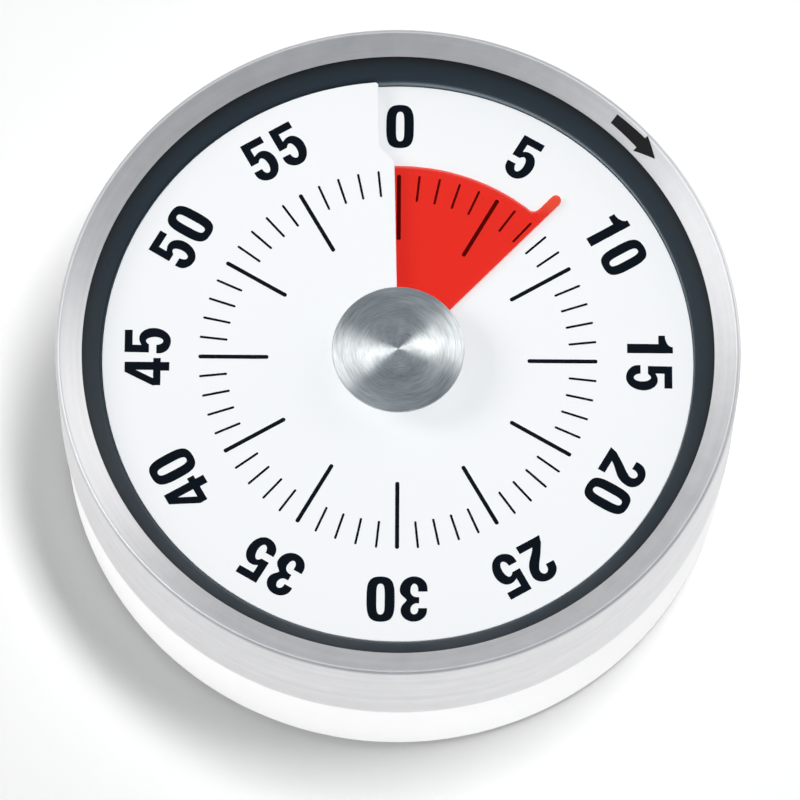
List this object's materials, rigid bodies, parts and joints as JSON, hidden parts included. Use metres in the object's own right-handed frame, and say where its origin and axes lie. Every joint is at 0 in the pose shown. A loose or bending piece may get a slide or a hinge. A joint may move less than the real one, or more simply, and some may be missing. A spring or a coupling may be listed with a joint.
{
  "type": "visual countdown timer",
  "caption": "Round mechanical kitchen timer: a red film disc threads a helical dial and shows the time left; steel shell, centre knob, white base, wheel train and gong inside.",
  "frame": {"origin": "centre of the surface that the timer lies on, under the knob", "axes": "+Z out of the dial, +Y towards the 0 of the dial, +X towards the 15"},
  "size_m": [0.078, 0.078, 0.0292],
  "materials": {
    "base_white": "smooth white moulding",
    "shell_steel": "satin",
    "ring_black": "matte",
    "dial_white": "satin",
    "foot_rubber": "matte",
    "magnet": "nickel-plated",
    "spring_steel": "blued",
    "gong_steel": "plated",
    "dark_steel": "turned",
    "brass": "stamped",
    "knob_steel": "turned face",
    "film_red": "translucent"
  },
  "bodies": {
    "case": {"case_base": "base_white", "bezel_shell": "shell_steel", "inner_ring": "ring_black", "dial_plate": "dial_white", "rubber_feet": "foot_rubber", "magnets": "magnet", "mainspring": "spring_steel", "hammer_spring": "spring_steel", "gong": "gong_steel", "gong_screw": "dark_steel", "front_plate": "brass", "back_plate": "brass", "pillars": "dark_steel", "pillar_nuts": "shell_steel", "movement_screws": "shell_steel"},
    "arbor": {"arbor": "dark_steel", "knob": "knob_steel", "great_wheel": "brass", "ratchet_wheel": "dark_steel", "click": "dark_steel", "alarm_cam": "brass"},
    "film": {"film_hub": "ring_black", "timer_film": "film_red"},
    "second": {"second_pinion": "dark_steel", "second_wheel": "brass"},
    "third": {"third_pinion": "dark_steel", "third_wheel": "brass"},
    "escape": {"escape_pinion": "dark_steel", "escape_wheel": "brass"},
    "balance": {"pallet_arbor": "dark_steel", "pallet": "dark_steel", "balance_wheel": "brass"},
    "hammer": {"hammer_arbor": "dark_steel", "hammer": "dark_steel", "hammer_tail": "dark_steel"}
  },
  "joints": [
    {"name": "knob_turn", "type": "hinge", "parent": "case", "child": "arbor", "pos_m": [0, 0, 0.014], "axis": [0, 0, -1], "range_deg": [-44, 316]},
    {"name": "film_climb", "type": "slide", "parent": "arbor", "child": "film", "axis": [0, 0, 1], "range_m": [-0.00019, 0.00134]},
    {"name": "second_turn", "type": "hinge", "parent": "case", "child": "second", "pos_m": [-0.01353, -0.00493, 0.014], "axis": [0, 0, -1], "range_deg": [-2532, 356]},
    {"name": "third_turn", "type": "hinge", "parent": "case", "child": "third", "pos_m": [-0.0061, -0.01378, 0.014], "axis": [0, 0, -1], "range_deg": [-2645, 18965]},
    {"name": "escape_turn", "type": "hinge", "parent": "case", "child": "escape", "pos_m": [0.0041, -0.01378, 0.014], "axis": [0, 0, -1], "range_deg": [-142205, 19805]},
    {"name": "balance_swing", "type": "hinge", "parent": "case", "child": "balance", "pos_m": [0.01155, -0.00948, 0.014], "axis": [0, 0, -1], "range_deg": [-5, 5]},
    {"name": "hammer_swing", "type": "hinge", "parent": "case", "child": "hammer", "pos_m": [0.01494, 0.01253, 0.014], "axis": [0, 0, -1], "range_deg": [-3, 4], "stiffness_Nm_per_rad": 0.001}
  ],
  "couplings": [
    {"joint": "film_climb", "follows": "knob_turn", "m_per_rad": 0.00024192},
    {"joint": "second_turn", "follows": "knob_turn", "ratio": -8},
    {"joint": "third_turn", "follows": "knob_turn", "ratio": 60},
    {"joint": "escape_turn", "follows": "knob_turn", "ratio": -450}
  ]
}
